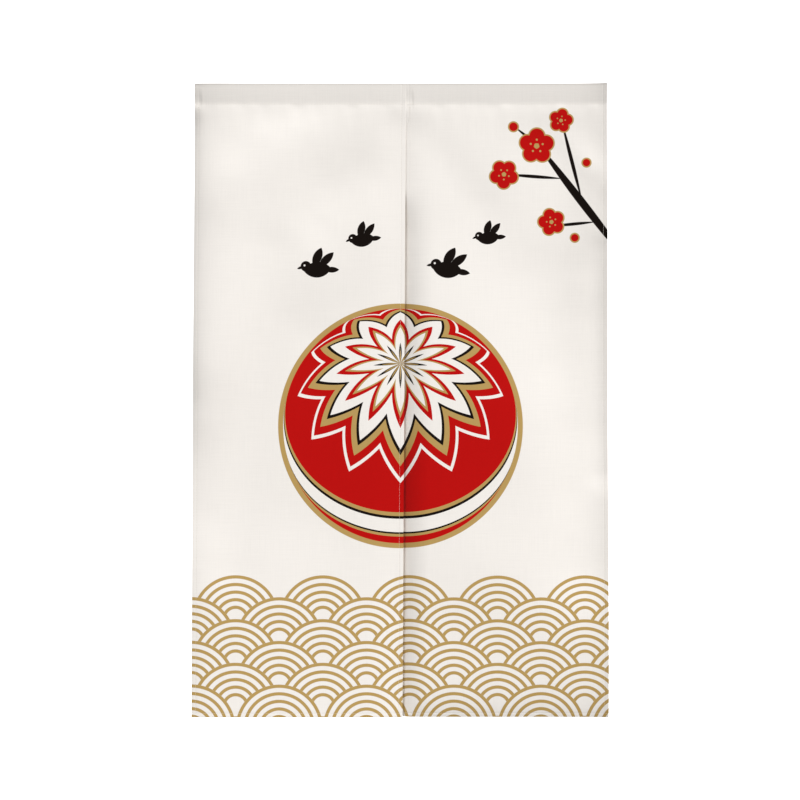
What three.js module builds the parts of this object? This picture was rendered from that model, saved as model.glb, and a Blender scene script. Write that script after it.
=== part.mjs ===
// A noren: a split doorway curtain of two cloth panels, hanging from a rod pocket along its top.
//
// Millimetres, +Z up. The origin is the middle of the top fold, where a rod carries the curtain.
// +X runs to the viewer's right and -Y faces the viewer. "Drop" is the distance down from the top fold.

import * as THREE from "three";

// Driving dimensions
const DROP = 1200; // top fold to bottom hem
const CLOTH = 1.5; // thickness of one layer
const POCKET = 38.5; // top fold to the stitching that closes the rod pocket
const POCKET_FRONT = 4.8; // the pocket's front stands this far forward of the top fold where it is fullest
const POCKET_BACK = 9; // and its back this far behind, because the cloth's weight pulls the front straight
const POCKET_TOP = 2; // height of the round top fold, above the fullest place
const POCKET_TAPER = 1.15; // how straight the pocket runs in from there to its stitching: 1 is straight
const POCKET_FOOT = 3; // height of the sewn strip, where the pocket's two layers lie together
const SEWN = 200; // the panels are sewn to each other down to this drop, and hang free below it
const LAP = 12; // how far the right panel runs on behind the left one
const HEM = 8.5; // width of the turned side and bottom hems
const HEM_EXTRA = 0.9; // how far a hem stands out behind the cloth
const CLEARANCE = 0.3; // between neighbouring pieces

// The upright edges, as x at the top fold and at the bottom hem
const EDGE = {
  left: { top: -389.5, bottom: -396 },
  slit: { top: 10.5, bottom: 3.9 },
  right: { top: 390.5, bottom: 394.5 },
};

// Soft folds of each panel. A fold runs from one point to another, given as x and drop. It stands
// towards the viewer by its height, or away where that is negative, and dies out over its width.
const FOLDS = {
  left: [
    { from: [-225, 65], to: [-145, 185], width: 50, height: -2.5 },
    { from: [-200, 90], to: [-340, 210], width: 55, height: 3 },
    { from: [-210, 140], to: [-370, 520], width: 75, height: 5.5 },
    { from: [-85, 170], to: [-160, 245], width: 60, height: -5 },
    { from: [-330, 185], to: [-385, 625], width: 55, height: 3.5 },
    { from: [-235, 320], to: [-320, 910], width: 50, height: -4 },
    { from: [-85, 445], to: [-190, 795], width: 125, height: -6.5 },
    { from: [-185, 485], to: [-375, 795], width: 80, height: -6.5 },
    { from: [8, 60], to: [5, 1200], width: 40, height: -4 },
  ],
  right: [
    { from: [35, 95], to: [145, 225], width: 40, height: -2 },
    { from: [310, 105], to: [390, 190], width: 25, height: 1.5 },
    { from: [295, 135], to: [350, 640], width: 80, height: -5 },
    { from: [365, 170], to: [360, 305], width: 35, height: 3 },
    { from: [165, 290], to: [270, 520], width: 85, height: -4.5 },
    { from: [375, 320], to: [385, 735], width: 30, height: -5 },
    { from: [280, 375], to: [345, 750], width: 80, height: -5 },
    { from: [360, 460], to: [355, 910], width: 70, height: -5 },
    { from: [175, 930], to: [320, 1015], width: 110, height: 5 },
  ],
};

const FOLD_START = 30; // below the pocket, the folds come in over this drop

// How far the outer edges turn, as y: the left one away from the viewer and the right one forward
const EDGE_CURLS = [
  { drop: 40, left: 15, right: -9 },
  { drop: 220, left: 12, right: -9.5 },
  { drop: 410, left: 10.5, right: -5.5 },
  { drop: 600, left: 13, right: -4 },
  { drop: 790, left: 4.5, right: -7 },
  { drop: DROP, left: 5, right: -8 },
];
const CURL_REACH = 20; // in from the edge, a curl dies out over this width
const FOOT_CURL = { depth: 10, reach: 36 }; // the foot of the right panel turns away
const BILLOW = { depth: 9, drop: 560, width: 300 }; // both panels belly forward about this drop

// Beside the slit the right panel lies behind the left one by a gap, turns back by a tuck close to
// the slit, and comes forward again over the lap's reach.
const LAP_GAP = { sewn: 1.7, top: 12, bottom: 13, opensOver: 90 };
const TUCK = { sewn: 1.2, free: 11, reach: 3.2 };
const LAP_REACH = { top: 60, bottom: 46 };

// How full the rod pocket is along its length: its depth as a share of the full depth
const POCKET_FULLNESS = {
  left: [
    { x: EDGE.left.top, depth: 1.65 },
    { x: -345, depth: 1.45 },
    { x: -280, depth: 1.12 },
    { x: -200, depth: 0.95 },
    { x: -120, depth: 0.97 },
    { x: -60, depth: 1.0 },
    { x: -25, depth: 0.94 },
    { x: EDGE.slit.top - CLEARANCE / 2, depth: 0.9 },
  ],
  right: [
    { x: EDGE.slit.top + CLEARANCE / 2, depth: 0.9 },
    { x: 30, depth: 1.0 },
    { x: 60, depth: 1.08 },
    { x: 140, depth: 1.12 },
    { x: 220, depth: 1.1 },
    { x: 300, depth: 1.15 },
    { x: 350, depth: 1.25 },
    { x: EDGE.right.top, depth: 1.4 },
  ],
};

// Mesh steps
const PANEL_ROWS = 36; // down a panel
const PANEL_COLUMNS = 18; // across a panel, between its hems
const TUCK_COLUMNS = [0, 1.5, 3, 4.5, 6.5, 9.5]; // more lines down the right panel, beyond the slit
const STEEPEST = 2; // where the cloth turns steeply, its thickness along y grows at most this much
const TOP_ARC_STEPS = 8; // over the top fold
const POCKET_SIDE_STEPS = 6; // down each side of the pocket

const { clamp, inverseLerp, lerp, smoothstep } = THREE.MathUtils;
const bell = (distance, width) => Math.exp(-((distance / width) ** 2));
const edgeAt = (edge, drop) => lerp(edge.top, edge.bottom, drop / DROP);
const freeAt = (drop) => 1 - bell(drop - POCKET, FOLD_START);

// How far a panel's folds stand towards the viewer: the sum of its folds, each a bell curve of the
// distance to the fold's line.
function foldHeight(folds, x, drop) {
  const here = new THREE.Vector3(x, drop, 0);
  const nearest = new THREE.Vector3();
  let height = 0;
  for (const fold of folds) {
    const line = new THREE.Line3(new THREE.Vector3(...fold.from), new THREE.Vector3(...fold.to));
    line.closestPointToPoint(here, true, nearest);
    height += fold.height * bell(nearest.distanceTo(here), fold.width);
  }
  return height;
}

// The curl of one outer edge at a drop, read between the rows of its table, and dying out from there.
function edgeCurl(side, fromEdge, drop) {
  const above = EDGE_CURLS.findLast((row) => row.drop <= drop) ?? EDGE_CURLS[0];
  const below = EDGE_CURLS.find((row) => row.drop > drop) ?? above;
  const share = inverseLerp(above.drop, below.drop, drop);
  return lerp(above[side], below[side], share) * Math.exp(-fromEdge / CURL_REACH);
}

// How far both panels belly forward at a drop
const billowAt = (drop) => BILLOW.depth * bell(drop - BILLOW.drop, BILLOW.width);

// The middle of the left cloth, as y. Its folds, curl and billow come in below the pocket.
function leftDepth(x, drop) {
  const curl = edgeCurl("left", x - edgeAt(EDGE.left, drop), drop);
  return (curl - foldHeight(FOLDS.left, x, drop) - billowAt(drop)) * freeAt(drop);
}

// The middle of the right cloth, as y. Beside the slit it follows the left cloth, a little behind it,
// and its own folds take over across the lap's reach, quickly at first and then ever more slowly.
function rightDepth(x, drop) {
  const slit = edgeAt(EDGE.slit, drop);
  const curl = edgeCurl("right", edgeAt(EDGE.right, drop) - x, drop);
  const foot = FOOT_CURL.depth * Math.exp((drop - DROP) / FOOT_CURL.reach);
  const own = (curl - foldHeight(FOLDS.right, x, drop) - billowAt(drop)) * freeAt(drop) + foot;
  const opening = smoothstep(drop, SEWN, SEWN + LAP_GAP.opensOver);
  const gap = lerp(LAP_GAP.sewn, edgeAt(LAP_GAP, drop), opening);
  const tuck = lerp(TUCK.sewn, TUCK.free, opening) * bell(Math.max(x - slit, 0), TUCK.reach);
  const behindLeft = leftDepth(Math.min(x, slit), drop) + gap;
  const remaining = 1 - clamp((x - slit) / edgeAt(LAP_REACH, drop), 0, 1);
  return lerp(own, behindLeft, remaining ** 2) + tuck;
}

// A closed solid between two facing grids of points. In a tube the last column joins the first.
function thickSheet(front, back, isTube) {
  const rows = front.length;
  const columns = front[0].length;
  const index = (side, row, column) => (side * rows + row) * columns + (column % columns);
  const triangles = [];
  const quad = (a, b, c, d) => triangles.push(a, b, c, a, c, d);
  const spans = isTube ? columns : columns - 1;
  for (let row = 0; row < rows - 1; row++) {
    for (let c = 0; c < spans; c++) {
      quad(index(0, row, c), index(0, row + 1, c), index(0, row + 1, c + 1), index(0, row, c + 1));
      quad(index(1, row, c), index(1, row, c + 1), index(1, row + 1, c + 1), index(1, row + 1, c));
    }
    if (!isTube) {
      const last = columns - 1;
      quad(index(0, row, 0), index(1, row, 0), index(1, row + 1, 0), index(0, row + 1, 0));
      quad(index(0, row, last), index(0, row + 1, last), index(1, row + 1, last), index(1, row, last));
    }
  }
  for (let c = 0; c < spans; c++) {
    const last = rows - 1;
    quad(index(0, 0, c), index(0, 0, c + 1), index(1, 0, c + 1), index(1, 0, c));
    quad(index(0, last, c), index(1, last, c), index(1, last, c + 1), index(0, last, c + 1));
  }
  const positions = [...front.flat(), ...back.flat()].flatMap((point) => point.toArray());
  const geometry = new THREE.BufferGeometry();
  geometry.setAttribute("position", new THREE.Float32BufferAttribute(positions, 3));
  geometry.setIndex(triangles);
  geometry.computeVertexNormals();
  return geometry;
}

// Steps from 0 to a length, evenly spaced between the hems, with a pair of lines where a hem ends.
function stepsWithHems(length, count, hemAtStart) {
  const start = hemAtStart ? HEM + HEM_EXTRA : 0;
  const end = length - HEM - HEM_EXTRA;
  const between = Array.from({ length: count + 1 }, (_, i) => lerp(start, end, i / count));
  return [...(hemAtStart ? [0, HEM] : []), ...between, length - HEM, length];
}

// One panel, from the pocket's seam to the bottom hem: the cloth's thickness about its middle depth,
// with the hems standing out behind. Extra columns are given as distances from the start edge.
function panelGeometry(startEdge, endEdge, startInset, depthAt, extraColumns) {
  const top = POCKET + CLEARANCE;
  const rows = stepsWithHems(DROP - top, PANEL_ROWS, false).map((down) => {
    const drop = top + down;
    const start = edgeAt(startEdge, drop) - startInset;
    const width = edgeAt(endEdge, drop) - start;
    const isBottomHem = drop >= DROP - HEM;
    const columns = [...stepsWithHems(width, PANEL_COLUMNS, true), ...extraColumns].sort((a, b) => a - b);
    return columns.map((w) => {
      const x = start + w;
      const middle = depthAt(x, drop);
      const slope = (depthAt(x + 1, drop) - depthAt(x - 1, drop)) / 2;
      const half = (CLOTH / 2) * Math.min(Math.hypot(1, slope), STEEPEST);
      const hem = isBottomHem || w <= HEM || w >= width - HEM ? HEM_EXTRA : 0;
      return [new THREE.Vector3(x, middle - half, -drop), new THREE.Vector3(x, middle + half + hem, -drop)];
    });
  });
  const grid = (side) => rows.map((row) => row.map((pair) => pair[side]));
  return thickSheet(grid(0), grid(1), false);
}

// The pocket's section as a closed loop of y and drop: over the top fold, then drawn in to the seam.
function pocketSection(frontDepth, backDepth, topHeight, footDrop, footDepth) {
  const points = [];
  for (let i = 0; i <= TOP_ARC_STEPS; i++) {
    const angle = (Math.PI * i) / TOP_ARC_STEPS;
    const depth = angle < Math.PI / 2 ? frontDepth : backDepth;
    points.push([-depth * Math.cos(angle), POCKET_TOP - topHeight * Math.sin(angle)]);
  }
  const side = (depth) => Array.from({ length: POCKET_SIDE_STEPS }, (_, i) => {
    const along = (i + 1) / POCKET_SIDE_STEPS;
    return [lerp(depth, footDepth, along ** POCKET_TAPER), lerp(POCKET_TOP, footDrop, along)];
  });
  const frontSide = side(frontDepth).map(([y, drop]) => [-y, drop]).reverse();
  return [...points, ...side(backDepth), ...frontSide];
}

// One heading: the open rod pocket, with its section carried along x.
function headingGeometry(stations) {
  const outer = pocketSection(POCKET_FRONT, POCKET_BACK, POCKET_TOP, POCKET, CLOTH);
  const inner = pocketSection(
    POCKET_FRONT - CLOTH, POCKET_BACK - CLOTH, POCKET_TOP - CLOTH, POCKET - POCKET_FOOT, CLEARANCE,
  );
  const gridOf = (section) => stations.map(({ x, depth }) =>
    section.map(([y, drop]) => new THREE.Vector3(x, y * depth, -drop)));
  return thickSheet(gridOf(outer), gridOf(inner), true);
}

function clothMesh(name, geometry) {
  const material = new THREE.MeshStandardMaterial({ color: "#f2ece6", roughness: 0.9, metalness: 0 });
  const mesh = new THREE.Mesh(geometry, material);
  mesh.name = name;
  return mesh;
}

const tuckColumns = TUCK_COLUMNS.map((beyond) => LAP + beyond);
const noren = new THREE.Group();
noren.add(clothMesh("panel_left", panelGeometry(EDGE.left, EDGE.slit, 0, leftDepth, [])));
noren.add(clothMesh("panel_right", panelGeometry(EDGE.slit, EDGE.right, LAP, rightDepth, tuckColumns)));
noren.add(clothMesh("heading_left", headingGeometry(POCKET_FULLNESS.left)));
noren.add(clothMesh("heading_right", headingGeometry(POCKET_FULLNESS.right)));

export default noren;
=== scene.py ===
"""A noren: a split doorway curtain of printed cloth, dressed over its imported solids.

Each panel is one length of cloth. It starts at the raw edge behind the rod pocket, goes up and over
the top fold, down the front to the bottom hem, and is turned in along its sides and foot. Tables and
curves are in millimetres and degrees, and meshes and shaders are in metres and radians.
"""
from functools import partial
from math import radians, tau

import bpy
import numpy as np
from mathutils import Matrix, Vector


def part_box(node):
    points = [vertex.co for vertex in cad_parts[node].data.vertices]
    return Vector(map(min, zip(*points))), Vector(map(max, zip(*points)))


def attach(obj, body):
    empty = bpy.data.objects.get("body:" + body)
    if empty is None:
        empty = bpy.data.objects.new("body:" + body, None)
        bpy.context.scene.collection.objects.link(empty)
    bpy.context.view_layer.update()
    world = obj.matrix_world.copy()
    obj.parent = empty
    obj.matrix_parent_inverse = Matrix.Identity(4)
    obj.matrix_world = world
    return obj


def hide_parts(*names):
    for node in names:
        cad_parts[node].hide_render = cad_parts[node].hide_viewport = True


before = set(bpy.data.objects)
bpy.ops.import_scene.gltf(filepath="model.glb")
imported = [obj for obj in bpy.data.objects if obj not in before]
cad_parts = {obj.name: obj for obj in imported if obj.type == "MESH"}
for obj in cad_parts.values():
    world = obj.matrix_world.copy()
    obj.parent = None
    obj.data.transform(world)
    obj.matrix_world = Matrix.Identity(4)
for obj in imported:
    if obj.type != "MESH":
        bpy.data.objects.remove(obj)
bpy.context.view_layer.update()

MM = 0.001

# Sizes that come from the solids' lowest and highest corners. "Drop" is the distance down from the
# top fold.
left_panel, right_panel, left_pocket, right_pocket = (
    np.array(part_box(node)) / MM for node in ("panel_left", "panel_right", "heading_left", "heading_right")
)
DROP = -left_panel[0, 2]
POCKET = -left_pocket[0, 2]

# The upright edges, as x at the top fold and at the bottom hem
OUTER_LEFT = (left_pocket[0, 0], left_panel[0, 0])
SLIT_AT_FOOT = 3.9
SLIT = (left_pocket[1, 0], SLIT_AT_FOOT)
OUTER_RIGHT = (right_pocket[1, 0], right_panel[1, 0])

# The rod pocket
POCKET_FRONT, POCKET_BACK = 4.8, 9.0  # how far it stands before and behind the top fold, at its fullest
FRONT_CREASE, BACK_ROUND = 0.4, 5.0  # height of the top fold above those places
POCKET_TAPER = 1.15  # how straight it runs in from there to its stitching: 1 is straight
ROLL, ROLL_DROP = 0.6, 2.0  # the top fold rolls forward by this much more, over this drop
POCKET_LAP = 1.5  # the end of the right pocket lies this far inside the left one

# Where the panels lie over each other
SEWN = 200  # they are sewn to each other down to this drop
LAP = 12  # how far the right panel runs on behind the left one
LAP_STARTS, LAP_FULL = 60, 110  # the drops where that lap begins, below the pocket, and is full

# Cloth and hems
CLOTH = 0.4  # thickness of one layer
PANEL_WIDTH = 400  # finished width of one cloth
HEM = 8.5  # width of a turned hem
SIDE_TURN = 1.0  # depth from the face to the turned layer of a side hem
FOOT_TURN = 2.2  # the same at the bottom hem and the pocket's sewn edge, which lie over the side hems
STITCH_INSET = 7.8  # from a hem's edge to its stitching
STITCH_DENT, DENT_WIDTH = 0.3, 0.6  # how far the stitching draws the cloth in, and how near to it
SEAM_ALLOWANCE = 3.5  # the pocket's back layer runs on this far below the pocket
SEAM_INSET = 0.6  # and its stitching lies this far below it

# Soft folds of each panel: a line from one point to another, as x and drop, that stands towards
# the viewer by its height, or away where that is negative, and dies out over its width.
FOLD_COLUMNS = ("from_x", "from_drop", "to_x", "to_drop", "width", "height")
LEFT_FOLDS = (
    (-225, 65, -145, 185, 50, -2.5),
    (-200, 90, -340, 210, 55, 3),
    (-210, 140, -370, 520, 75, 5.5),
    (-85, 170, -160, 245, 60, -5),
    (-330, 185, -385, 625, 55, 3.5),
    (-235, 320, -320, 910, 50, -4),
    (-85, 445, -190, 795, 125, -6.5),
    (-185, 485, -375, 795, 80, -6.5),
    (8, 60, 5, 1200, 40, -4),
)
RIGHT_FOLDS = (
    (35, 95, 145, 225, 40, -2),
    (310, 105, 390, 190, 25, 1.5),
    (295, 135, 350, 640, 80, -5),
    (365, 170, 360, 305, 35, 3),
    (165, 290, 270, 520, 85, -4.5),
    (375, 320, 385, 735, 30, -5),
    (280, 375, 345, 750, 80, -5),
    (360, 460, 355, 910, 70, -5),
    (175, 930, 320, 1015, 110, 5),
)
FOLD_START = 30  # below the pocket, the folds come in over this drop

# How far the outer edges turn, as y: the drop, the left edge, which turns away from the viewer, and
# the right edge, which turns forward
EDGE_CURLS = (
    (40, 15, -9),
    (220, 12, -9.5),
    (410, 10.5, -5.5),
    (600, 13, -4),
    (790, 4.5, -7),
    (1200, 5, -8),
)
CURL_REACH, POCKET_CURLS = 20, (4.5, -9)  # how far in the curls reach, and what they are at the pocket
FOOT_CURL, FOOT_REACH = 10, 36  # the foot of the right cloth turns away
BILLOW, BILLOW_DROP, BILLOW_FADE = 9, 560, 300  # both panels belly forward about this drop
SWELL, SWELL_DROP, SWELL_FADE = 0.4, 14, 160  # the cloth swells forward just below the pocket's stitching
SWELL_END = 120  # and the swell comes in over this width from the outer edge
GATHER, GATHER_START, GATHER_FADE = 0.2, 8, 45  # slight gathers hang from that stitching
GATHER_LENGTHS = (34, 53, 87)

# Beside the slit the right panel lies behind the left one by a gap, turns sharply back by a tuck close
# to the slit, and comes forward again over the lap's reach. A pair holds for the top and the bottom.
LAP_GAP_SEWN, LAP_GAP_FREE, LAP_OPENS_OVER = 1.7, (12, 13), 90
TUCK_SEWN, TUCK_FREE, TUCK_REACH = 1.0, 12, 1.9
LAP_REACH = (60, 46)

# How full the rod pocket is along its length: x, and depth as a share of the full depth
POCKET_FULLNESS = {
    "left": (
        (-389.5, 1.65), (-345, 1.45), (-280, 1.12), (-200, 0.95), (-120, 0.97), (-60, 1.0), (-25, 0.94),
        (10.5, 0.9),
    ),
    "right": (
        (9, 0.9), (30, 1.0), (60, 1.08), (140, 1.12), (220, 1.1), (300, 1.15), (350, 1.25), (390.5, 1.4),
    ),
}
# Where a pocket's left corner draws back beside its stitching: x, drop, width, height and depth
CORNER_TUCKS = {"left": (-377, 31, 5, 13, 1.1), "right": (24, 31, 5, 14, 1.2)}

# Mesh steps. In from an edge they are close about the hem's stitching, and further in, where the right
# panel turns back behind the left one, they widen from the slit on.
HEM_STEPS = np.concatenate([np.linspace(1.6, 6.4, 4), np.linspace(7.1, HEM, 5), [9.2, 10.6]])
TUCK_STEPS_REACH = 8.5
TUCK_STEPS = LAP + TUCK_STEPS_REACH * np.linspace(0, 1, 15) ** 1.5
NEAR_SEAM, ABOVE_FOOT = 36, 16  # finer rows lie this near below the pocket's stitching and above the foot
NEAR_SEAM_SHARES = (0.12, 0.95)  # the first and the last of the former, before they are squared
SIDE_TURN_STEPS, FOOT_TURN_STEPS, ALLOWANCE_ROWS = 7, 9, 4
MIDDLE_COLUMNS, PANEL_ROWS, POCKET_ROWS = 80, 180, 15


def bell(distance, width):
    """A bell curve: one at no distance, dying out over the width."""
    return np.exp(-((distance / width) ** 2))


def ease(value, start, end):
    """Nought up to the start, one from the end, with a smooth S between."""
    t = np.clip((value - start) / (end - start), 0, 1)
    return t * t * (3 - 2 * t)


def along(pair, drop):
    """A value that changes evenly down the curtain, from its top to its bottom."""
    return pair[0] + (pair[1] - pair[0]) * drop / DROP


def fold_height(folds, x, drop):
    """The sum of the folds: each is a bell curve of the distance to the fold's own line."""
    height = np.zeros(np.broadcast(x, drop).shape)
    for row in folds:
        fold = dict(zip(FOLD_COLUMNS, row))
        run = fold["to_x"] - fold["from_x"], fold["to_drop"] - fold["from_drop"]
        off_x, off_drop = x - fold["from_x"], drop - fold["from_drop"]
        share = np.clip((off_x * run[0] + off_drop * run[1]) / (run[0] ** 2 + run[1] ** 2), 0, 1)
        distance = np.hypot(off_x - share * run[0], off_drop - share * run[1])
        height += fold["height"] * bell(distance, fold["width"])
    return height


def hang(folds, x, drop, from_edge, side):
    """A panel's depth, as y: its folds, which come in below the pocket, the curl of its outer edge,
    which dies away from that edge, the billow that both panels share, and the swell and gathers just
    below the pocket's stitching."""
    below = np.maximum(drop - POCKET, 0)
    free = 1 - bell(below, FOLD_START)
    curl_drops, *curls = np.array(EDGE_CURLS).T
    edge_curl = POCKET_CURLS[side] + (np.interp(drop, curl_drops, curls[side]) - POCKET_CURLS[side]) * free
    curl = edge_curl * np.exp(-from_edge / CURL_REACH) - BILLOW * bell(drop - BILLOW_DROP, BILLOW_FADE)
    swell = SWELL * (1 - bell(below, SWELL_DROP)) * bell(below, SWELL_FADE) * ease(from_edge, 0, SWELL_END)
    waves = sum(np.sin(tau * x / length + length) for length in GATHER_LENGTHS)
    gathers = GATHER * waves * bell(below, GATHER_FADE) * np.minimum(below / GATHER_START, 1)
    return curl - fold_height(folds, x, drop) * free - swell - gathers


def left_depth(x, drop):
    """The left cloth's face, as y."""
    return hang(LEFT_FOLDS, x, drop, x - along(OUTER_LEFT, drop), 0)


def right_depth(x, drop):
    """The right cloth's face, as y. Beside the slit it follows the left cloth, a little behind: the
    gap and the tuck grow where the sewing ends, and from the slit its own folds take over across the
    lap's reach, quickly at first and then ever more slowly. Its foot turns away from the viewer."""
    slit = along(SLIT, drop)
    own = hang(RIGHT_FOLDS, x, drop, along(OUTER_RIGHT, drop) - x, 1)
    own = own + FOOT_CURL * np.exp((drop - DROP) / FOOT_REACH)
    opening = ease(drop, SEWN, SEWN + LAP_OPENS_OVER)
    lapped = ease(drop, POCKET, LAP_FULL)
    gap = LAP_GAP_SEWN + (along(LAP_GAP_FREE, drop) - LAP_GAP_SEWN) * opening
    tuck = TUCK_SEWN + (TUCK_FREE - TUCK_SEWN) * opening
    behind = left_depth(np.minimum(x, slit), drop) + gap * lapped
    remaining = 1 - np.clip((x - slit) / along(LAP_REACH, drop), 0, 1)
    return own + (behind - own) * remaining**2 + tuck * lapped * bell(np.maximum(x - slit, 0), TUCK_REACH)


def left_edges(drop):
    """The left cloth's two side edges, as x."""
    return along(OUTER_LEFT, drop), along(SLIT, drop)


def right_edges(drop):
    """The right cloth's two side edges, as x: below the pocket it runs on behind the left cloth."""
    lap = POCKET_LAP + (LAP - POCKET_LAP) * ease(drop, LAP_STARTS, LAP_FULL)
    return along(SLIT, drop) - lap, along(OUTER_RIGHT, drop)


def across_profile():
    """The cloth's columns from one raw side edge to the other. For each: its share of the panel's
    width, its distance in from the nearer edge, how far it lies behind the face, and its distance
    from that edge on the flat cloth, which is negative where the cloth is turned in. The turn is a
    half circle, and the stitching draws both layers of the hem towards each other."""
    radius = SIDE_TURN / 2
    angle = np.linspace(np.pi, 0, SIDE_TURN_STEPS)
    under = HEM_STEPS[HEM_STEPS <= HEM][::-1]
    face = np.concatenate([HEM_STEPS, TUCK_STEPS])
    inward = np.concatenate([under, radius * (1 - np.sin(angle)), face])
    behind = np.concatenate([
        SIDE_TURN - STITCH_DENT * bell(under - STITCH_INSET, DENT_WIDTH),
        radius * (1 - np.cos(angle)),
        STITCH_DENT * bell(face - STITCH_INSET, DENT_WIDTH),
    ])
    flat = np.concatenate([-under, radius * (np.pi / 2 - angle), face])
    reach = TUCK_STEPS[-1] / PANEL_WIDTH
    middle = np.linspace(reach, 1 - reach, MIDDLE_COLUMNS + 2)[1:-1]
    still = np.zeros(middle.size)
    return (
        np.concatenate([np.zeros(inward.size), middle, np.ones(inward.size)]),
        np.concatenate([inward, still, -inward[::-1]]),
        np.concatenate([behind, still, behind[::-1]]),
        np.concatenate([flat, still, -flat[::-1]]),
    )


def rows(drop, pocket_y=0.0, behind=0.0):
    """Some of the cloth's rows, as three lists in step."""
    return np.stack(np.broadcast_arrays(drop, pocket_y, behind))


def down_profile():
    """The cloth's rows from the raw edge behind the pocket to the raw edge of the bottom hem. For
    each: its drop, its depth as y in the rod pocket, how far it lies behind the face, and its place
    on the flat cloth as a drop, measured along the rows' own path. The top fold is a quarter of one
    ellipse in front and of another behind, and just below it the front rolls forward and dies away
    into the pocket's straight run to its stitching. The bottom hem's turn is a half circle."""
    side = np.linspace(0, 1, POCKET_ROWS) ** 2
    drawn_in = 1 - side**POCKET_TAPER
    angle = np.linspace(0, np.pi, POCKET_ROWS)[1:-1]
    crease = [[POCKET_FRONT + ROLL], [FRONT_CREASE]]
    depth, height = np.where(np.cos(angle) > 0, [[POCKET_BACK], [BACK_ROUND]], crease)
    front_drop = (POCKET - FRONT_CREASE) * side
    front = POCKET_FRONT * drawn_in + ROLL * np.exp(-front_drop / ROLL_DROP)
    under = HEM_STEPS[HEM_STEPS <= HEM]
    radius = FOOT_TURN / 2
    bend = np.linspace(0, np.pi, FOOT_TURN_STEPS)
    back_drop = BACK_ROUND + (POCKET - BACK_ROUND) * side
    pocket = [
        rows(POCKET + np.linspace(SEAM_ALLOWANCE, SEAM_INSET, ALLOWANCE_ROWS), behind=FOOT_TURN),
        rows(back_drop, POCKET_BACK * drawn_in, FOOT_TURN * side**2)[:, ::-1],
        rows(height * (1 - np.sin(angle)), depth * np.cos(angle)),
        rows(FRONT_CREASE + front_drop, -front),
    ]
    panel = [
        rows(POCKET + NEAR_SEAM * np.linspace(*NEAR_SEAM_SHARES, POCKET_ROWS) ** 2),
        rows(np.linspace(POCKET + NEAR_SEAM, DROP - ABOVE_FOOT, PANEL_ROWS)),
        rows(DROP - HEM_STEPS, behind=STITCH_DENT * bell(HEM_STEPS - STITCH_INSET, DENT_WIDTH))[:, ::-1],
        rows(DROP - radius * (1 - np.sin(bend)), behind=radius * (1 - np.cos(bend))),
        rows(DROP - under, behind=FOOT_TURN - STITCH_DENT * bell(under - STITCH_INSET, DENT_WIDTH)),
    ]
    drop, pocket_y, behind = np.concatenate(pocket + panel, axis=1)
    path = np.cumsum(np.hypot(np.diff(pocket_y + behind, prepend=0), np.diff(drop, prepend=0)))
    seam = sum(part.shape[1] for part in pocket)
    return drop, pocket_y, behind, path - path[seam] + drop[seam]


def cloth_surface(side, depth, edges):
    """A whole panel as a grid of points, in metres, with each point's place on the flat cloth.
    Rows follow the length of the cloth and columns its width. The pocket's depth is scaled by its
    fullness and its front is drawn back at one corner. Where the cloth is turned in at the sides it
    lies behind its own face, along the inward normal of the row's path."""
    share, inward, side_behind, side_flat = across_profile()
    drop, pocket_y, behind, flat = (row[:, None] for row in down_profile())
    start, end = edges(drop)
    x = start + (end - start) * share + inward
    fullness = np.interp(x, *np.array(POCKET_FULLNESS[side]).T)
    tuck_x, tuck_drop, width, height, tuck = CORNER_TUCKS[side]
    near_corner = 1 - ease(x, tuck_x - width / 2, tuck_x + width / 2)
    drawn_back = np.where(flat > 0, tuck * near_corner * bell(drop - tuck_drop, height), 0)
    y = depth(x, np.maximum(drop, POCKET)) + pocket_y * fullness + behind + drawn_back
    step_y, step_z = np.gradient(y, axis=0), np.gradient(-drop, axis=0)
    length = np.hypot(step_y, step_z)
    z = -drop + side_behind * step_y / length
    y = y - side_behind * step_z / length
    print_x = start + (end - start) * share + side_flat
    points = np.stack(np.broadcast_arrays(x, y, z), axis=-1)
    places = np.stack(np.broadcast_arrays(print_x, -flat), axis=-1)
    return points * MM, places * MM


def mesh_piece(name, points, faces, materials):
    """A mesh object from whole arrays of points and of faces, smoothly shaded."""
    mesh = bpy.data.meshes.new(name)
    mesh.from_pydata(points.tolist(), [], faces.tolist())
    mesh.polygons.foreach_set("use_smooth", np.ones(len(faces), dtype=bool))
    for material in materials:
        mesh.materials.append(material)
    piece = bpy.data.objects.new(name, mesh)
    bpy.context.scene.collection.objects.link(piece)
    return piece


def cloth_piece(side, depth, edges, materials):
    """One panel of cloth: the grid of its surface, its flat places as a UV map, and its thickness."""
    points, places = cloth_surface(side, depth, edges)
    corner = np.arange(points.shape[0] * points.shape[1]).reshape(points.shape[:2])
    faces = np.stack([corner[:-1, :-1], corner[1:, :-1], corner[1:, 1:], corner[:-1, 1:]], axis=-1)
    faces = faces.reshape(-1, 4)
    piece = mesh_piece("cloth_" + side, points.reshape(-1, 3), faces, materials)
    flat_places = piece.data.uv_layers.new(name="flat cloth")
    flat_places.data.foreach_set("uv", places.reshape(-1, 2)[faces.ravel()].ravel())
    thickness = piece.modifiers.new("cloth thickness", "SOLIDIFY")
    thickness.thickness = CLOTH * MM
    thickness.offset = -1
    thickness.material_offset = 1
    return piece


# Sewing thread
STITCH_PITCH = 3.0
STITCH_SIZE = np.array([2.4, 0.6, 0.5])  # along its row, across it, and out of the cloth
STITCH_SHOULDER, STITCH_DIP = 0.45, 0.8  # its rings' place and its tips' dip, as shares of half of that
THREAD_SEAT = 0.05  # how far a stitch's middle stands off the cloth
JOINING_INSET = 8.5  # from the slit to the row that sews the panels to each other
ROW_END = 2  # a level row stops this far from the cloth's edge
FRONT, BACK = np.array([0.0, -1.0, 0.0]), np.array([0.0, 1.0, 0.0])


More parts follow.
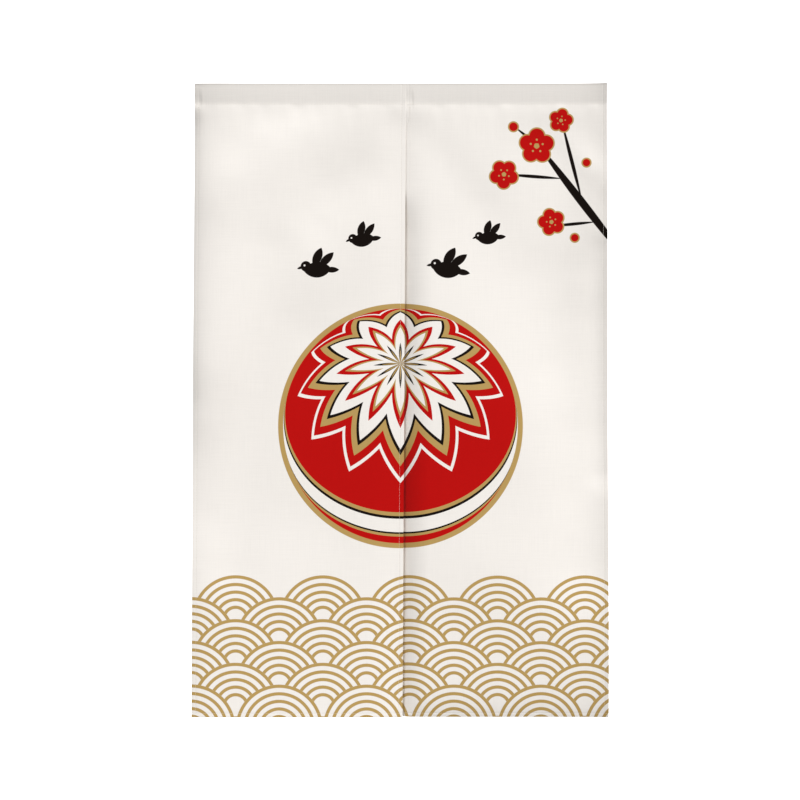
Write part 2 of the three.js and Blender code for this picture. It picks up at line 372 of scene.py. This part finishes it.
def stitches(name, runs, material):
    """Rows of stitches joined into one mesh. Each stitch is a spindle: two square rings between two
    tips that dip into the cloth, laid along its row. A run is a function from the distance along
    the row to a point, its length, and the way out of the cloth."""
    ring = np.array([[0, 1, 0], [0, 0, 1], [0, -1, 0], [0, 0, -1]])
    shoulder = np.array([STITCH_SHOULDER, 0, 0])
    tips = np.array([[-1, 0, -STITCH_DIP], [1, 0, -STITCH_DIP]])
    spindle = np.concatenate([ring - shoulder, ring + shoulder, tips]) * STITCH_SIZE / 2
    here = np.arange(4)
    after = (here + 1) % 4
    first, last = np.full(4, 8), np.full(4, 9)
    triangles = (
        (here, after, after + 4), (here, after + 4, here + 4),
        (first, after, here), (last, here + 4, after + 4),
    )
    faces = np.concatenate([np.stack(triangle, axis=-1) for triangle in triangles])
    placed = []
    for place, length, outward in runs:
        at = np.arange(STITCH_PITCH, length - STITCH_PITCH / 2, STITCH_PITCH)
        ahead = place(at + 0.5) - place(at - 0.5)
        ahead /= np.linalg.norm(ahead, axis=1, keepdims=True)
        axes = np.stack([ahead, np.cross(outward, ahead), np.broadcast_to(outward, ahead.shape)], axis=1)
        placed.append(place(at)[:, None, :] + spindle @ axes)
    points = np.concatenate(placed)
    offsets = np.arange(len(points)) * len(spindle)
    all_faces = (faces + offsets[:, None, None]).reshape(-1, 3)
    return mesh_piece(name, points.reshape(-1, 3) * MM, all_faces, [material])


def on_cloth(depth, x, drop, behind, outward):
    """Points at a depth behind a cloth's face, each a stitch's seat off it."""
    x, drop = np.broadcast_arrays(x, drop)
    return np.stack([x, depth(x, drop) + behind + THREAD_SEAT * outward[1], -drop], axis=-1)


def upright_run(depth, x_at, start, end, behind, outward):
    """A row of stitches down the cloth, at an x that may change with the drop."""
    def place(distance):
        return on_cloth(depth, x_at(start + distance), start + distance, behind, outward)
    return place, end - start, outward


def level_run(depth, drop, start, end, behind, outward):
    """A row of stitches across the cloth, at one drop."""
    def place(distance):
        return on_cloth(depth, start + ROW_END + distance, drop, behind, outward)
    return place, end - start - 2 * ROW_END, outward


def hem_line(edges, side, drop):
    """The x of a side hem's stitching at a drop: side 0 is the left hem, and side 1 the right one."""
    return edges(drop)[side] + STITCH_INSET * (1 - 2 * side)


def joining_line(drop):
    """The x of the stitching that joins the panels, at a drop."""
    return along(SLIT, drop) + JOINING_INSET


def hem_runs(depth, edges):
    """The stitching of one panel: both side hems, the bottom hem and the pocket, on both faces."""
    top, hem_drop, seam_drop = POCKET + SEAM_ALLOWANCE, DROP - STITCH_INSET, POCKET + SEAM_INSET
    runs = []
    for side in (0, 1):
        x_at = partial(hem_line, edges, side)
        runs.append(upright_run(depth, x_at, top, hem_drop, STITCH_DENT, FRONT))
        runs.append(upright_run(depth, x_at, top, hem_drop, SIDE_TURN - STITCH_DENT, BACK))
    runs.append(level_run(depth, hem_drop, *edges(hem_drop), STITCH_DENT, FRONT))
    runs.append(level_run(depth, hem_drop, *edges(hem_drop), FOOT_TURN - STITCH_DENT, BACK))
    runs.append(level_run(depth, seam_drop, *edges(seam_drop), 0, FRONT))
    runs.append(level_run(depth, seam_drop, *edges(seam_drop), FOOT_TURN, BACK))
    return runs


# Inks, cloth and thread, as sRGB
BARE_CLOTH = "#F3EEE8"
RED_INK = "#BC0705"
GOLD_INK = "#B9995C"
BLACK_INK = "#100703"
THREAD = "#E9E2D8"
INK_BLEED = 0.35  # half the width over which ink thins out at its edge


def linear(hex_colour):
    """An sRGB hex colour as the linear red, green, blue and alpha that the shaders take."""
    srgb = np.array([int(hex_colour[i:i + 2], 16) for i in (1, 3, 5)]) / 255
    rgb = np.where(srgb <= 0.04045, srgb / 12.92, ((srgb + 0.055) / 1.055) ** 2.4)
    return (*rgb, 1.0)


def add_node(tree, kind, inputs=(), **settings):
    """Add a node with its settings. Inputs are given by place or name, as values or sockets to link."""
    node = tree.nodes.new(kind)
    for setting, value in settings.items():
        setattr(node, setting, value)
    pairs = inputs.items() if isinstance(inputs, dict) else enumerate(inputs)
    for key, value in pairs:
        if isinstance(value, bpy.types.NodeSocket):
            tree.links.new(value, node.inputs[key])
        else:
            node.inputs[key].default_value = value
    return node


def covered(add, distance, reach=0.0):
    """Ink coverage: one where the distance is below the reach, thinning out over the bleed."""
    return add("ShaderNodeMapRange", {
        "Value": distance, "From Min": (reach + INK_BLEED) * MM, "From Max": (reach - INK_BLEED) * MM,
    }).outputs[0]


def inked(add, coverage, ground, ink):
    """The ground's colour with an ink laid over it."""
    return add("ShaderNodeMix", {0: coverage, 6: ground, 7: linear(ink)}, data_type="RGBA").outputs[2]


# The band of overlapping wave scales
WAVE_PITCH = 165.25
WAVE_RADIUS = WAVE_PITCH / 2
WAVE_ROW, WAVE_ROWS = 41.36, 6  # from one row to the next, and how many
WAVE_CENTRE_X, WAVE_TOP = 18.55, 930.75
WAVE_STEP, WAVE_LINE = 14.34, 6.2  # from one ring to the next, and the width of its line
WAVE_HOLLOW = 14.0  # radius of the bare middle of a scale
FAR_AWAY = 10.0  # a distance in metres that no ink reaches


def wave_band(add, place):
    """Coverage of the gold wave scales. Rows of discs lie over one another, each lower row in front
    and half a pitch along. A point takes the lowest row whose disc covers it, and is inked where it
    lies in one of the rings of that disc."""
    split = add("ShaderNodeSeparateXYZ", [place])
    x, z = split.outputs[0], split.outputs[1]
    below_top = add("ShaderNodeMath", [z, -1.0, -WAVE_TOP * MM], operation="MULTIPLY_ADD").outputs[0]
    row = add("ShaderNodeMath", [below_top, WAVE_ROW * MM], operation="DIVIDE").outputs[0]
    row = add("ShaderNodeMath", [row], operation="FLOOR").outputs[0]
    lowest = add("ShaderNodeMath", [row, WAVE_ROWS - 1], operation="MINIMUM").outputs[0]
    chosen = FAR_AWAY
    for behind in (2, 1, 0):
        row = add("ShaderNodeMath", [lowest, behind], operation="SUBTRACT").outputs[0]
        shift = add("ShaderNodeMath", [row, -WAVE_RADIUS * MM, x], operation="MULTIPLY_ADD").outputs[0]
        shift = add("ShaderNodeMath", [shift, WAVE_CENTRE_X * MM], operation="SUBTRACT").outputs[0]
        aside = add("ShaderNodeMath", [shift, WAVE_RADIUS * MM], operation="PINGPONG").outputs[0]
        under = add("ShaderNodeMath", [row, -WAVE_ROW * MM, below_top], operation="MULTIPLY_ADD").outputs[0]
        under = add("ShaderNodeMath", [under, WAVE_RADIUS * MM], operation="SUBTRACT").outputs[0]
        offset = add("ShaderNodeCombineXYZ", [aside, under, 0.0]).outputs[0]
        distance = add("ShaderNodeVectorMath", [offset], operation="LENGTH").outputs["Value"]
        missing = add("ShaderNodeMath", [row, -0.5], operation="LESS_THAN").outputs[0]
        distance = add("ShaderNodeMath", [missing, FAR_AWAY, distance], operation="MULTIPLY_ADD").outputs[0]
        inside = add("ShaderNodeMath", [distance, WAVE_RADIUS * MM], operation="LESS_THAN").outputs[0]
        chosen = add("ShaderNodeMix", {0: inside, 2: chosen, 3: distance}, data_type="FLOAT").outputs[0]
    depth = add("ShaderNodeMath", [WAVE_RADIUS * MM, chosen], operation="SUBTRACT").outputs[0]
    in_step = add("ShaderNodeMath", [depth, WAVE_STEP * MM], operation="FLOORED_MODULO").outputs[0]
    from_line = add("ShaderNodeMath", [in_step, WAVE_LINE / 2 * MM], operation="SUBTRACT").outputs[0]
    from_line = add("ShaderNodeMath", [from_line], operation="ABSOLUTE").outputs[0]
    ring = covered(add, from_line, WAVE_LINE / 2)
    past_hollow = add("ShaderNodeMath", [chosen, WAVE_HOLLOW * MM], operation="GREATER_THAN").outputs[0]
    in_scale = add("ShaderNodeMath", [depth, 0.0], operation="GREATER_THAN").outputs[0]
    ring = add("ShaderNodeMath", [ring, past_hollow], operation="MULTIPLY").outputs[0]
    return add("ShaderNodeMath", [ring, in_scale], operation="MULTIPLY").outputs[0]


# The thread ball: its middle on the cloth, its size, and how far its pole leans towards the top
BALL_X, BALL_DROP, BALL_RADIUS = 0.0, 648.0, 222.0
BALL_OUTLINE = 9.5
BALL_LEAN = 32
BALL_POINTS = 12
BALL_STAR_DEPTH = 17  # how far the star's valleys lie behind its points, as an angle
# Bands of the star, as the angle from the pole at which each starts, and its ink
BALL_STAR = (
    (0, GOLD_INK), (9, BLACK_INK), (13, BARE_CLOTH), (25, GOLD_INK), (28, RED_INK), (33, BARE_CLOTH),
    (43, BLACK_INK), (46, GOLD_INK), (52, RED_INK), (58, BARE_CLOTH), (61, RED_INK),
)
# Bands about the ball's middle, as the angle from the pole at which each starts, and its ink
BALL_BELT_FROM = 78
BALL_BELT = (
    (0, RED_INK), (79, GOLD_INK), (82, BLACK_INK), (84, BARE_CLOTH), (97, BLACK_INK), (99, GOLD_INK),
    (102, RED_INK),
)
HALF_TURN = 180


def banded(add, angle, bands):
    """The ink at an angle in radians: each band runs from its own start, in degrees, to the next."""
    share = add("ShaderNodeMath", [angle, radians(HALF_TURN)], operation="DIVIDE").outputs[0]
    ramp = add("ShaderNodeValToRGB", [share])
    ramp.color_ramp.interpolation = "CONSTANT"
    elements = ramp.color_ramp.elements
    for start, _ in bands[2:]:
        elements.new(start / HALF_TURN)
    for element, (start, ink) in zip(elements, bands):
        element.position = start / HALF_TURN
        element.color = linear(ink)
    return ramp.outputs[0]


def thread_ball(add, place, ground):
    """The printed thread ball. A point of the disc is set on a sphere, leaned back, and read as an
    angle from the pole and a turn about it. Adding a zigzag of the turn to the angle makes the star."""
    centre = (BALL_X * MM, -BALL_DROP * MM, 0.0)
    offset = add("ShaderNodeVectorMath", [place, centre], operation="SUBTRACT").outputs[0]
    from_centre = add("ShaderNodeVectorMath", [offset], operation="LENGTH").outputs["Value"]
    scaled = {0: offset, "Scale": 1 / (BALL_RADIUS * MM)}
    unit = add("ShaderNodeVectorMath", scaled, operation="SCALE").outputs[0]
    square = add("ShaderNodeVectorMath", [unit, unit], operation="DOT_PRODUCT").outputs["Value"]
    rest = add("ShaderNodeMath", [1.0, square], operation="SUBTRACT", use_clamp=True).outputs[0]
    rise = add("ShaderNodeMath", [rest], operation="SQRT").outputs[0]
    flat = add("ShaderNodeSeparateXYZ", [unit])
    on_ball = add("ShaderNodeCombineXYZ", [flat.outputs[0], flat.outputs[1], rise]).outputs[0]
    lean = {"Vector": on_ball, "Angle": radians(BALL_LEAN)}
    leaned = add("ShaderNodeVectorRotate", lean, rotation_type="X_AXIS").outputs[0]
    ball = add("ShaderNodeSeparateXYZ", [leaned])
    angle = add("ShaderNodeMath", [ball.outputs[2]], operation="ARCCOSINE").outputs[0]
    turn = add("ShaderNodeMath", [ball.outputs[1], ball.outputs[0]], operation="ARCTAN2").outputs[0]
    half_spoke = tau / BALL_POINTS / 2
    aside = add("ShaderNodeMath", [turn, half_spoke], operation="PINGPONG").outputs[0]
    slope = radians(BALL_STAR_DEPTH) / half_spoke
    zigzag = add("ShaderNodeMath", [aside, slope, angle], operation="MULTIPLY_ADD").outputs[0]
    star = banded(add, zigzag, BALL_STAR)
    belt = banded(add, angle, BALL_BELT)
    around = add("ShaderNodeMath", [angle, radians(BALL_BELT_FROM)], operation="GREATER_THAN").outputs[0]
    face = add("ShaderNodeMix", {0: around, 6: star, 7: belt}, data_type="RGBA").outputs[2]
    disc = covered(add, from_centre, BALL_RADIUS)
    rimmed = inked(add, covered(add, from_centre, BALL_RADIUS + BALL_OUTLINE), ground, GOLD_INK)
    return add("ShaderNodeMix", {0: disc, 6: rimmed, 7: face}, data_type="RGBA").outputs[2]


def nearest(add, distances):
    """The least of several distances."""
    least = distances[0]
    for distance in distances[1:]:
        least = add("ShaderNodeMath", [least, distance], operation="MINIMUM").outputs[0]
    return least


def brush_stroke(add, place, start, end, width):
    """Distance outside a pointed stroke: the overlap of two discs that cross at its ends."""
    start, end = np.array(start, dtype=float), np.array(end, dtype=float)
    half = np.linalg.norm(end - start) / 2
    radius = (half**2 + (width / 2) ** 2) / width
    across = np.array([start[1] - end[1], end[0] - start[0]]) / (2 * half) * (radius - width / 2)
    middle = (start + end) / 2
    reaches = [
        add("ShaderNodeVectorMath", [place, (*(centre * MM), 0.0)], operation="DISTANCE").outputs["Value"]
        for centre in (middle + across, middle - across)
    ]
    outside = add("ShaderNodeMath", reaches, operation="MAXIMUM").outputs[0]
    return add("ShaderNodeMath", [outside, radius * MM], operation="SUBTRACT").outputs[0]


def dots(add, place, centres, radius):
    """Distance outside a group of like discs."""
    reaches = [
        add("ShaderNodeVectorMath", [place, (x * MM, z * MM, 0.0)], operation="DISTANCE").outputs["Value"]
        for x, z in centres
    ]
    return add("ShaderNodeMath", [nearest(add, reaches), radius * MM], operation="SUBTRACT").outputs[0]


# The plum sprig, from the right edge, as x and height on the cloth: strokes as start, end and width,
# blossoms as centre, radius and turn, and buds as centre and radius
SPRIG_STROKES = (
    ((440, -352), (252, -104), 15),
    ((345, -228), (304, -66), 7),
    ((310, -180), (196, -172), 6.5),
    ((372, -262), (282, -270), 6),
    ((262, -118), (216, -82), 5),
)
SPRIG_BLOSSOMS = (((258, -118), 33, 17), ((196, -172), 27, 52), ((304, -70), 22, 6), ((286, -262), 25, 34))
SPRIG_BUDS = (((214, -82), 8), ((352, -150), 7), ((330, -292), 7))
PETALS = 5
BLOSSOM_OUTLINE = 2.6
# A blossom's parts, as shares of its radius: how far from the middle, and how large
PETAL_AT, PETAL_SIZE = 0.56, 0.43
STAMEN_AT, STAMEN_SIZE = 0.36, 0.06
EYE_SIZE = 0.15


def plum_sprig(add, place, ground):
    """A black branch with twigs, red buds, and red blossoms of round petals with gold outlines."""
    wood = nearest(add, [brush_stroke(add, place, *stroke) for stroke in SPRIG_STROKES])
    colour = inked(add, covered(add, wood), ground, BLACK_INK)
    for centre, radius, turn in SPRIG_BLOSSOMS:
        angles = radians(turn) + tau * np.arange(PETALS) / PETALS
        ring = np.stack([np.cos(angles), np.sin(angles)], axis=-1) * radius
        petals = dots(add, place, centre + ring * PETAL_AT, radius * PETAL_SIZE)
        stamens = dots(add, place, centre + ring * STAMEN_AT, radius * STAMEN_SIZE)
        eye = dots(add, place, [centre], radius * EYE_SIZE)
        colour = inked(add, covered(add, petals, BLOSSOM_OUTLINE), colour, GOLD_INK)
        colour = inked(add, covered(add, petals), colour, RED_INK)
        colour = inked(add, covered(add, nearest(add, [stamens, eye])), colour, GOLD_INK)
    for centre, radius in SPRIG_BUDS:
        bud = dots(add, place, [centre], radius)
        colour = inked(add, covered(add, bud, BLOSSOM_OUTLINE), colour, GOLD_INK)
        colour = inked(add, covered(add, bud), colour, RED_INK)
    return colour


# A plover in its own place, facing left: strokes as start, end and width, then the head and the eye
PLOVER_STROKES = (
    ((-25, 0), (27, -1), 30),
    ((-6, 6), (13, 40), 17),
    ((4, 4), (35, 29), 15),
    ((14, -2), (42, -5), 11),
    ((-24, 8), (-37, 5), 5),
)
PLOVER_HEAD, PLOVER_HEAD_RADIUS = (-20, 8), 10
PLOVER_EYE, PLOVER_EYE_RADIUS = (-22.5, 10), 1.8
# The flock: x, height, size and lean of each bird
PLOVERS = ((-158, -352, 1.0, 6), (-72, -296, 0.85, 14), (88, -352, 1.05, -3), (166, -292, 0.8, 11))


def plovers(add, place, ground):
    """Small black birds in flight, each drawn with pointed strokes in a place of its own."""
    colour = ground
    for x, z, size, lean in PLOVERS:
        own = add("ShaderNodeMapping", {
            "Vector": place, "Location": (x * MM, z * MM, 0.0), "Rotation": (0.0, 0.0, radians(lean)),
            "Scale": (size, size, 1.0),
        }, vector_type="TEXTURE").outputs[0]
        parts = [brush_stroke(add, own, *stroke) for stroke in PLOVER_STROKES]
        parts.append(dots(add, own, [PLOVER_HEAD], PLOVER_HEAD_RADIUS))
        body = covered(add, nearest(add, parts))
        eye = covered(add, dots(add, own, [PLOVER_EYE], PLOVER_EYE_RADIUS))
        bird = add("ShaderNodeMath", [body, eye], operation="SUBTRACT", use_clamp=True).outputs[0]
        colour = inked(add, bird, colour, BLACK_INK)
    return colour


# Cloth
WEAVE_PITCH = 1.4  # a pair of threads; drawn about twice as coarse as the real weave, so that it shows
WEAVE_HEIGHT, WEAVE_STRENGTH = 0.12, 0.35  # how far the threads stand out, and how much of that shows
SLUB_LENGTH, SLUB_WIDTH = 60.0, 1.6  # thick places in the yarn
SLUB_RELIEF = 0.8  # how far a slub stands out, as a share of the weave's height
SLUB_RANGE = (0.6, 1.4)  # the yarns at their thinnest and thickest, as the sum of two noises
SLUB_TONES = (0.975, 1.02)  # and the tone that each gives the cloth
BACK_INK = 0.45  # how much of the ink shows on the back


def printed_cloth(name, ink_strength):
    """Plain-woven polyester and cotton, dye printed: matt, with a fine thread grid, faint slubs and
    slightly soft edges to the ink. The back shows the print through the cloth, paler."""
    material = bpy.data.materials.new(name)
    material.use_nodes = True
    material.node_tree.nodes.clear()
    add = partial(add_node, material.node_tree)
    place = add("ShaderNodeUVMap", uv_map="flat cloth").outputs[0]
    ground = linear(BARE_CLOTH)
    colour = inked(add, wave_band(add, place), ground, GOLD_INK)
    colour = thread_ball(add, place, colour)
    colour = plum_sprig(add, place, colour)
    colour = plovers(add, place, colour)
    shown = add("ShaderNodeMix", {0: ink_strength, 6: ground, 7: colour}, data_type="RGBA").outputs[2]
    long, short = 1 / (SLUB_LENGTH * MM), 1 / (SLUB_WIDTH * MM)
    weft, warp = (
        add("ShaderNodeTexNoise", {
            "Vector": add("ShaderNodeMapping", {"Vector": place, "Scale": scale}).outputs[0],
            "Scale": 1.0, "Detail": 1.0,
        }).outputs[0]
        for scale in ((long, short, 1.0), (short, long, 1.0))
    )
    slubs = add("ShaderNodeMath", [weft, warp], operation="ADD").outputs[0]
    tone = add("ShaderNodeMapRange", {
        "Value": slubs, "From Min": SLUB_RANGE[0], "From Max": SLUB_RANGE[1],
        "To Min": SLUB_TONES[0], "To Max": SLUB_TONES[1],
    }).outputs[0]
    toned = add("ShaderNodeVectorMath", {0: shown, "Scale": tone}, operation="SCALE").outputs[0]
    pitched = {0: place, "Scale": tau / (WEAVE_PITCH * MM)}
    waving = add("ShaderNodeVectorMath", pitched, operation="SCALE").outputs[0]
    waving = add("ShaderNodeVectorMath", [waving], operation="SINE").outputs[0]
    across, down = add("ShaderNodeSeparateXYZ", [waving]).outputs[:2]
    over_under = add("ShaderNodeMath", [across, down], operation="MULTIPLY").outputs[0]
    relief = add("ShaderNodeMath", [slubs, SLUB_RELIEF, over_under], operation="MULTIPLY_ADD").outputs[0]
    bump = add("ShaderNodeBump", {
        "Strength": WEAVE_STRENGTH, "Distance": WEAVE_HEIGHT * MM, "Height": relief,
    }).outputs[0]
    shader = add("ShaderNodeBsdfPrincipled", {
        "Base Color": toned, "Roughness": 0.88, "IOR": 1.45, "Specular IOR Level": 0.12,
        "Sheen Weight": 0.04, "Sheen Roughness": 0.5, "Normal": bump,
    })
    add("ShaderNodeOutputMaterial", [shader.outputs[0]])
    return material


THREAD_TWIST = 0.5  # length of one twist of the thread
THREAD_RIB, THREAD_RIB_STRENGTH = 0.05, 0.4  # how far its ribs stand out, and how much of that shows
THREAD_HOLLOW_PAINTED_SHADE = 0.86  # painted shade: how much darker the thread is coloured in the hollows between its ribs
SLANT = (1.0, 1.0, 1.0)  # the ribs lie across this direction


def sewing_thread():
    """Spun polyester sewing thread: off-white and matt, ribbed by its twist, with shade painted between the
    ribs.
    """
    material = bpy.data.materials.new("spun polyester thread")
    material.use_nodes = True
    material.node_tree.nodes.clear()
    add = partial(add_node, material.node_tree)
    place = add("ShaderNodeTexCoord").outputs["Object"]
    slanted = add("ShaderNodeVectorMath", [place, SLANT], operation="DOT_PRODUCT").outputs["Value"]
    twist = add("ShaderNodeMath", [slanted, tau / (THREAD_TWIST * MM)], operation="MULTIPLY").outputs[0]
    ribs = add("ShaderNodeMath", [twist], operation="SINE").outputs[0]
    # painted shade: the thread's colour darkens towards the hollows between its ribs
    shade = {"Value": ribs, "From Min": -1.0, "To Min": THREAD_HOLLOW_PAINTED_SHADE, "To Max": 1.0}
    tone = add("ShaderNodeMapRange", shade).outputs[0]
    toned = {0: linear(THREAD)[:3], "Scale": tone}
    colour = add("ShaderNodeVectorMath", toned, operation="SCALE").outputs[0]
    bump = add("ShaderNodeBump", {
        "Strength": THREAD_RIB_STRENGTH, "Distance": THREAD_RIB * MM, "Height": ribs,
    }).outputs[0]
    shader = add("ShaderNodeBsdfPrincipled", {
        "Base Color": colour, "Roughness": 0.7, "IOR": 1.5, "Sheen Weight": 0.1, "Normal": bump,
    })
    add("ShaderNodeOutputMaterial", [shader.outputs[0]])
    return material


# The curtain
printed = [printed_cloth("printed plain weave", 1.0), printed_cloth("printed plain weave, back", BACK_INK)]
thread = sewing_thread()
left_cloth = cloth_piece("left", left_depth, left_edges, printed)
right_cloth = cloth_piece("right", right_depth, right_edges, printed)
joining = upright_run(right_depth, joining_line, POCKET + SEAM_ALLOWANCE, SEWN, 0, FRONT)
left_sewing = stitches("stitching_left", hem_runs(left_depth, left_edges), thread)
right_sewing = stitches("stitching_right", hem_runs(right_depth, right_edges) + [joining], thread)

for piece in (left_cloth, right_cloth, left_sewing, right_sewing):
    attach(piece, "root")
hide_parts("panel_left", "heading_left")
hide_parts("panel_right", "heading_right")

# Each cloth's places down its flat path, from the raw edge behind the pocket to that of the bottom hem
flat_drops = down_profile()[-1]


# The stage
def plain_material(name, hex_colour, glow=0.0):
    """A plain matt paint for the stage, which may glow by itself."""
    material = bpy.data.materials.new(name)
    material.use_nodes = True
    shader = material.node_tree.nodes["Principled BSDF"]
    shader.inputs["Base Color"].default_value = linear(hex_colour)
    shader.inputs["Roughness"].default_value = 0.9
    shader.inputs["Emission Color"].default_value = (1.0, 1.0, 1.0, 1.0)
    shader.inputs["Emission Strength"].default_value = glow
    return material


# The floor's height and the backdrop's place, and half the side of each, in metres
FLOOR_Z, FLOOR_HALF = -3.2, 1.6
BACKDROP_Y, BACKDROP_Z, BACKDROP_HALF = 9.0, -0.6, 4.0
SURROUND_LIGHT = 0.36
one_face = np.array([[0, 1, 2, 3]])
square = np.array([[-1, -1], [1, -1], [1, 1], [-1, 1]])
level, upright = np.insert(square, 2, 0, axis=1), np.insert(square, 1, 0, axis=1)
floor_points = level * FLOOR_HALF + (0, 0, FLOOR_Z)
backdrop_points = upright * BACKDROP_HALF + (0, BACKDROP_Y, BACKDROP_Z)
floor_paint = plain_material("pale floor", "#CFCCC8")
backdrop_paint = plain_material("white backdrop", "#FFFFFF", glow=1.0)
floor = mesh_piece("floor", floor_points, one_face, [floor_paint])
backdrop = mesh_piece("backdrop", backdrop_points, one_face, [backdrop_paint])

world = bpy.data.worlds.new("studio")
world.use_nodes = True
surround = world.node_tree.nodes["Background"]
surround.inputs["Color"].default_value = (1.0, 1.0, 1.0, 1.0)
surround.inputs["Strength"].default_value = SURROUND_LIGHT
bpy.context.scene.world = world

# Soft lights: name, the way the light travels, how wide its source looks, and power
SOFT_LIGHTS = (
    ("front", (-0.53, 1.0, -1.45), 30, 3.61),
    ("back", (-0.5, -1.0, -0.5), 60, 0.9),
)
for name, travels, width, power in SOFT_LIGHTS:
    lamp = bpy.data.lights.new(name, "SUN")
    lamp.angle = radians(width)
    lamp.energy = power
    light = bpy.data.objects.new(name, lamp)
    light.rotation_euler = Vector(travels).to_track_quat("-Z", "Y").to_euler()
    bpy.context.scene.collection.objects.link(light)

# The camera: square on, from far enough to see the cloth nearly without perspective
FRAME_WIDTH = 1.514  # width of the picture at the cloth
FRAME_X, FRAME_Z = -0.00076, -0.599  # the middle of the picture
camera_data = bpy.data.cameras.new("camera")
camera_data.lens = 135
camera_data.sensor_width = 36
camera_data.clip_end = 100
camera = bpy.data.objects.new("camera", camera_data)
camera.location = (FRAME_X, -FRAME_WIDTH * camera_data.lens / camera_data.sensor_width, FRAME_Z)
camera.rotation_euler = (radians(90), 0, 0)
bpy.context.scene.collection.objects.link(camera)
bpy.context.scene.camera = camera
bpy.context.scene.view_settings.view_transform = "Standard"
